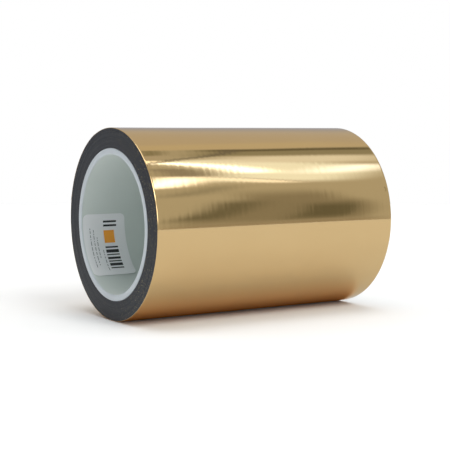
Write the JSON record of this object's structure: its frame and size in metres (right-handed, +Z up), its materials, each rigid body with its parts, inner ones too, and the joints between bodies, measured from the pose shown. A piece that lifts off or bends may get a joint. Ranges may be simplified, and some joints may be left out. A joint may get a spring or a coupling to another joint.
{
  "type": "roll of sign vinyl",
  "caption": "Roll of mirror-gold self-adhesive film wound on a 3 inch white plastic core, with a paper label in the bore and a free end that peels.",
  "frame": {"origin": "centre of the core's bore, halfway along its width", "axes": "+Y along the roll's axis, away from the labelled end; +Z up, with the roll lying on its side; +X towards the side that shows no free end"},
  "size_m": [0.1052, 0.1524, 0.1052],
  "materials": {
    "core_plastic": "smooth extruded white plastic, satin sheen",
    "label_paper": null,
    "film_edge": "slit edges of the wound film, dark, with fine rings",
    "gold_film": "mirror-bright metallised gold polyester film"
  },
  "bodies": {
    "roll": {"core_tube": "core_plastic", "core_label": "label_paper", "wound_film": "film_edge", "outer_turn": "gold_film"},
    "film_end_1": {"film_end_1": "gold_film"},
    "film_end_2": {"film_end_2": "gold_film"},
    "film_end_3": {"film_end_3": "gold_film"},
    "film_end_4": {"film_end_4": "gold_film"}
  },
  "joints": [
    {"name": "film_end_1_lift", "type": "hinge", "parent": "roll", "child": "film_end_1", "pos_m": [-0.01972, 0, 0.0488], "axis": [0, 1, 0], "range_deg": [0, 30]},
    {"name": "film_end_2_lift", "type": "hinge", "parent": "film_end_1", "child": "film_end_2", "pos_m": [-0.03094, 0, 0.04258], "axis": [0, 1, 0], "range_deg": [0, 30]},
    {"name": "film_end_3_lift", "type": "hinge", "parent": "film_end_2", "child": "film_end_3", "pos_m": [-0.04032, 0, 0.03383], "axis": [0, 1, 0], "range_deg": [0, 30]},
    {"name": "film_end_4_lift", "type": "hinge", "parent": "film_end_3", "child": "film_end_4", "pos_m": [-0.04731, 0, 0.02307], "axis": [0, 1, 0], "range_deg": [0, 30]}
  ]
}
